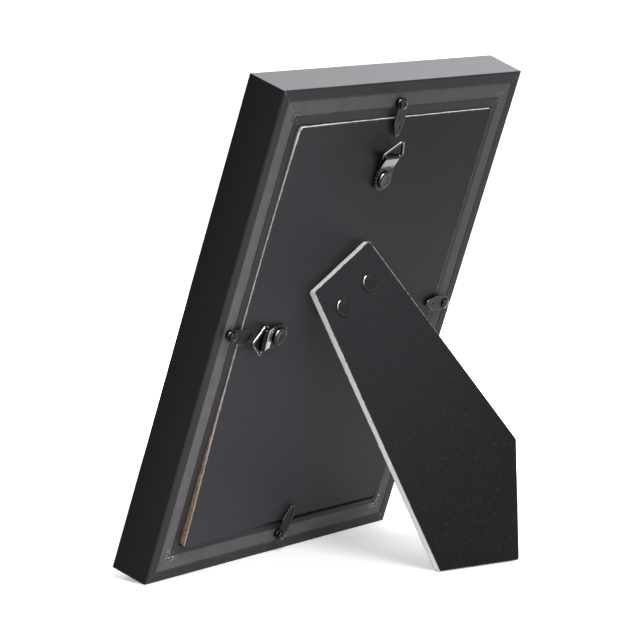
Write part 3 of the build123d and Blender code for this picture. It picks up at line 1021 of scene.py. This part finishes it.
finishes = {
    "foil": black_foil(),
    "board face": board_face(),
    "board edge": board_edge(),
    "paper": strut_paper(),
    "white board": white_board(),
    # straps: degrees at which the painted slope highlight starts and is full, then its strength
    "strap top": black_strap("top", 11.5, 17.0, 0.4),
    "strap left": black_strap("left", 4.0, 15.0, 0.6),
    # black metal: base, gloss range, edge wear, then the strength of the painted rim highlight
    "button": black_metal("black button", (0.012, 0.0117, 0.0125), (0.28, 0.36), 0.6, 0.2),
    "rivet": black_metal("black rivet", (0.034, 0.0335, 0.0345), (0.16, 0.22), 0.3, 0.75),
    "wire": black_metal("black wire", (0.050, 0.0495, 0.0505), (0.14, 0.20), 0.3, 0.8),
    "screw": black_metal("black screw", (0.024, 0.0235, 0.0245), (0.18, 0.24), 0.5, 0.3),
    "hinge": black_metal("black hinge", (0.03, 0.03, 0.032), (0.35, 0.5), 0.2, 0.0),
    "steel": bare_steel(),
    "glass": pane_glass(),
    "card": picture_card(),
}


# Pieces

def add_object(name, data):
    """A new object in the scene, at the origin."""
    made = bpy.data.objects.new(name, data)
    bpy.context.scene.collection.objects.link(made)
    return made


def add_piece(name, surface, finish_names, body, slot, *replaced):
    """A mesh object from points and faces, in the frame's own coordinates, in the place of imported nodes."""
    points, faces, *cut = surface
    mesh = bpy.data.meshes.new(name)
    mesh.from_pydata(points.tolist(), [], faces)
    mesh.polygons.foreach_set("use_smooth", np.ones(len(faces), bool))
    for finish in finish_names:
        mesh.materials.append(finishes[finish])
    if cut:
        kinds, ways = cut
        mesh.polygons.foreach_set("material_index", kinds)
        corners = np.empty(len(mesh.loops), int)
        mesh.loops.foreach_get("vertex_index", corners)
        mesh.uv_layers.new(name="rim").uv.foreach_set("vector", ways[corners].ravel())
    mesh.update()
    piece = add_object(name, mesh)
    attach(piece, body)
    if replaced:
        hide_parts(*replaced)


def placed(place, surface):
    """A surface drawn in its own coordinates, moved to a place."""
    return (place.put(surface[0]), *surface[1:])


def dress_nodes(finish, *names):
    for name in names:
        nodes[name].data.materials.clear()
        nodes[name].data.materials.append(finishes[finish])


def heights(name, place):
    """Lowest and highest level of a node in a place."""
    levels = place.read(node_points(name))[:, 2]
    return levels.min(), levels.max()


def board_bend(x, y):
    """How far the back board has sprung, in metres.

    Each side has its own lift, in millimetres, and reaches inwards with a power of the distance from the far
    side. The lower left corner stands out the most and the upper part of the left side the least.
    """
    left_share = np.clip((1 - x / board_half_width) / 2, 0, 1)
    low_share = np.clip((1 - y / board_half_height) / 2, 0, 1)
    lifts = np.stack([
        -1.1 + 2.4 * low_share**3.2 + 1.1 * (1 - low_share) ** 12,
        -0.45 + 0.5 * low_share**3.5,
        -0.75 + 0.9 * left_share**6,
        -1.0 + 2.3 * left_share**4,
    ])
    weights = np.stack([left_share**6, (1 - left_share) ** 6, (1 - low_share) ** 8, low_share**8])
    return 0.001 * np.sum(weights * lifts, axis=0) / np.maximum(weights.sum(axis=0), 1)


def make_board():
    low, high = heights("back_board", back)
    corners = rounded_corners(node_corners("back_board", back), board_corner)
    outline = even_outline(corners, board_points)
    sheet = cut_sheet(outline, low, high, board_arris, board_fray, board_seed, board_bend)
    surface = placed(back, sheet)
    add_piece("back_board_sheet", surface, ["board face", "board edge"], "frame", "back_board", "back_board")


def rounded_corners(corners, radius):
    """A convex outline with each corner cut back to an arc, drawn as the outline round small discs."""
    radii = np.full(len(corners), radius)
    return discs_outline(arc_centres(corners, radii), radii, corner_points)


def make_card():
    low, high = heights("picture_insert", back)
    outline = even_outline(node_corners("picture_insert", back), card_points)
    sheet = cut_sheet(outline, low + card_clearance, high, card_clearance, 0.0, card_seed, no_bend)
    surface = placed(back, sheet)
    add_piece("picture_card", surface, ["card", "card"], "frame", "picture_paper", "picture_insert")


def make_strut():
    outline = even_outline(node_corners("strut_core", strut), strut_points)
    layers = {
        "strut_core": ("white board", core_fray, "strut_core"),
        "strut_paper_front": ("paper", 0.0, "strut_paper"),
        "strut_paper_back": ("paper", 0.0, "strut_paper"),
    }
    for seed, (name, (finish, fray, slot)) in enumerate(layers.items()):
        low, high = heights(name, strut)
        arris = min(paper_arris, (high - low) / sheet_arrises)
        surface = cut_sheet(outline, low, high, arris, fray, seed, no_bend)
        add_piece(name + "_sheet", placed(strut, surface), [finish, finish], "strut", slot, name)


def make_strut_rivets():
    """Two flat round heads on the strut, with their shanks and tails."""
    points = strut.read(node_points("strut_rivets"))
    low, high = points[:, 2].min(), points[:, 2].max()
    foot = heights("strut_paper_back", strut)[1]
    lots = []
    for half in (points[:, 0] < points[:, 0].mean(), points[:, 0] > points[:, 0].mean()):
        centre = middle_of(points[half]) * (1, 1, 0)
        lots.append(placed(strut.moved(centre), rivet(low, foot, high)))
    add_piece("strut_rivet_heads", joined(lots), ["rivet"], "strut", "black_metal", "strut_rivets")


def make_hangers():
    for side in hanger_sides:
        place = strap_place(side)
        bar = ring_place(side)
        folded = placed(place, strap(place.read(bar.origin)[1]))
        add_piece(f"strap_{side}", folded, ["strap " + side], "frame", "black_metal", "hanger_strap_" + side)
        wire = placed(bar, ring())
        add_piece(f"ring_{side}_wire", wire, ["wire"], "ring_" + side, "black_metal", "hanger_ring_" + side)
        low, high = heights("hanger_rivet_" + side, place)
        head = placed(place, rivet(low, 2 * strap_thickness, high))
        add_piece(f"rivet_{side}", head, ["rivet"], "frame", "black_metal", "hanger_rivet_" + side)


def make_buttons():
    top = heights("button_top", back)[1]
    for side in sides:
        plate = placed(button_place(side), turn_button(top))
        body = "turn_button_" + side
        add_piece(f"button_{side}_plate", plate, ["button"], body, "black_metal", "button_" + side)
    shape = screw(top - button_thickness - button_gap, heights("button_screws", back)[1])
    seats = [button_place(side).turned(screw_turn + i) for i, side in enumerate(sides)]
    screws = joined([placed(seat, shape) for seat in seats])
    add_piece("button_screw_set", screws, ["screw"], "frame", "black_screw", "button_screws")


dress_nodes("foil", *("rail_" + side for side in sides))
dress_nodes("steel", "corner_nails")
dress_nodes("glass", "glass_pane")
dress_nodes("hinge", "hinge_leaf_board", "hinge_leaf_strut", "hinge_pin", "hinge_rivets_board")
make_board()
make_card()
make_strut()
make_strut_rivets()
make_hangers()
make_buttons()


# Floor, light and camera

def make_floor():
    """A wide pale floor that shows the object's shadow."""
    mesh = bpy.data.meshes.new("floor")
    corners = [(floor_half * x, floor_half * y, 0) for x, y in ((-1, -1), (1, -1), (1, 1), (-1, 1))]
    mesh.from_pydata(corners, [], [(0, 1, 2, 3)])
    material, tree, shader = new_material(
        "floor", Roughness=0.9, Specular_IOR_Level=0.1, Emission_Color=colour(1.0, 1.0, 1.0)
    )
    shade = noise(add_node(tree, "ShaderNodeTexCoord").outputs["Object"], 3.0)
    feed(
        shader, Base_Color=blend(shade, (0.88, 0.88, 0.88), (0.9, 0.9, 0.9)),
        Emission_Strength=between(seen_ray(tree), 0.0, floor_lift),
    )
    mesh.materials.append(material)
    floor = add_object("floor", mesh)


def seen_ray(tree):
    """1 for rays from the camera, or from a mirror or glass, else 0."""
    path = add_node(tree, "ShaderNodeLightPath").outputs
    through = calc("MAXIMUM", path["Is Glossy Ray"], path["Is Transmission Ray"])
    return calc("MAXIMUM", path["Is Camera Ray"], through)


def make_world():
    """White to the camera and in reflections, softer as a light."""
    world = bpy.data.worlds.new("studio")
    world.use_nodes = True
    tree = world.node_tree
    tree.nodes.clear()
    strength = between(seen_ray(tree), sky_light, 1.0)
    sky = add_node(tree, "ShaderNodeBackground", {"Color": colour(1.0, 1.0, 1.0), "Strength": strength})
    output = tree.nodes.new("ShaderNodeOutputWorld")
    tree.links.new(sky.outputs[0], output.inputs["Surface"])
    bpy.context.scene.world = world


def add_lamp(name, towards, spread, strength):
    """A soft lamp, far off in a direction, that fills so many degrees of the sky."""
    lamp = bpy.data.lights.new(name, "SUN")
    lamp.angle = radians(spread)
    lamp.energy = strength
    lamp.color = lamp_colour
    facing = Place((0, 0, 0), (0, 0, 1), towards)
    turn = Matrix(facing.axes.T).to_quaternion()
    add_object(name, lamp).matrix_world = Matrix.LocRotScale(None, turn, None)


def add_floor_lamp():
    """A lamp straight above the floor beside the frame, whose light falls on the floor alone."""
    lamp = bpy.data.lights.new("floor lamp", "SPOT")
    lamp.energy = floor_lamp_power
    lamp.color = lamp_colour
    lamp.spot_size = floor_lamp_spread
    lamp.spot_blend = floor_lamp_softness
    add_object("floor lamp", lamp).location = floor_lamp_place


def make_camera():
    lens = bpy.data.cameras.new("camera")
    lens.lens = camera_lens_mm
    lens.sensor_width = sensor_mm
    lens.shift_y = camera_rise
    camera = add_object("camera", lens)
    right = unit(camera_right)
    up = -unit(camera_down)
    turn = Matrix(np.array([right, up, np.cross(right, up)]).T)
    camera.matrix_world = Matrix.LocRotScale(camera_place, turn.to_quaternion(), None)
    bpy.context.scene.camera = camera


make_floor()
make_world()
for name, setting in lamps.items():
    add_lamp(name, *setting)
add_floor_lamp()
make_camera()
bpy.context.scene.view_settings.view_transform = "Standard"
